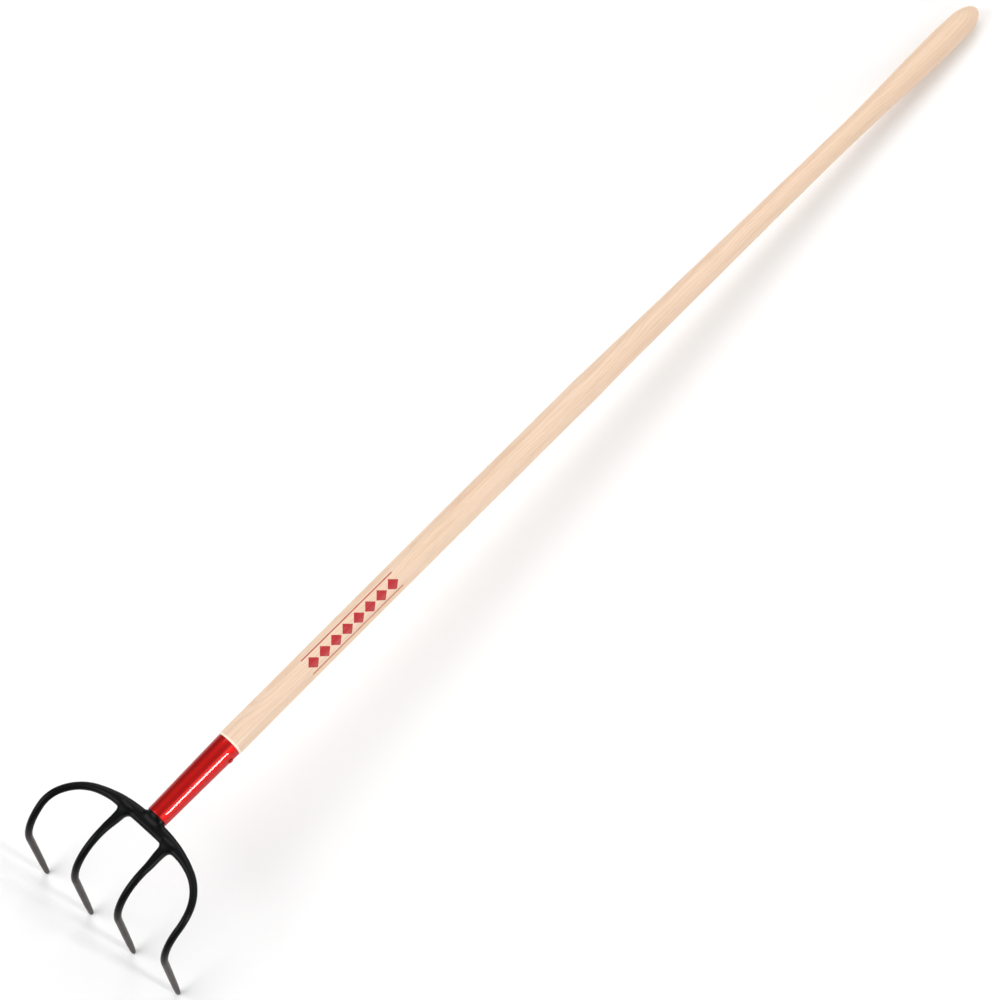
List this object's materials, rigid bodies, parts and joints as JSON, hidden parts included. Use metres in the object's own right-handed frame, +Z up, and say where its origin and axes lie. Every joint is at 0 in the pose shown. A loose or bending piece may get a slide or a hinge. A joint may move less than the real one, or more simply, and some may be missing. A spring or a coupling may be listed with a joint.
{
  "type": "long-handled tine cultivator",
  "caption": "Garden cultivator: long turned ash handle in a tapered steel ferrule, with a forged arched head whose slim tines bend down to blunt tips.",
  "frame": {"origin": "centre of the tool's outline on the floor it lies on, below the handle", "axes": "+X along the floor from the head to the end of the handle, +Y across the head to the user's right, +Z up; the tool lies on its four tine tips and the end of its handle"},
  "size_m": [1.4952, 0.2358, 0.1704],
  "materials": {
    "ash_wood": "pale ash, clear satin lacquer",
    "red_enamel": "gloss red enamel",
    "black_enamel": "gloss black enamel over a forged surface"
  },
  "bodies": {
    "root": {"handle": "ash_wood", "ferrule": "red_enamel", "crown": "black_enamel", "tine_outer_left": "black_enamel", "tine_inner_left": "black_enamel", "tine_inner_right": "black_enamel", "tine_outer_right": "black_enamel", "tang_pin": "red_enamel"}
  },
  "joints": []
}
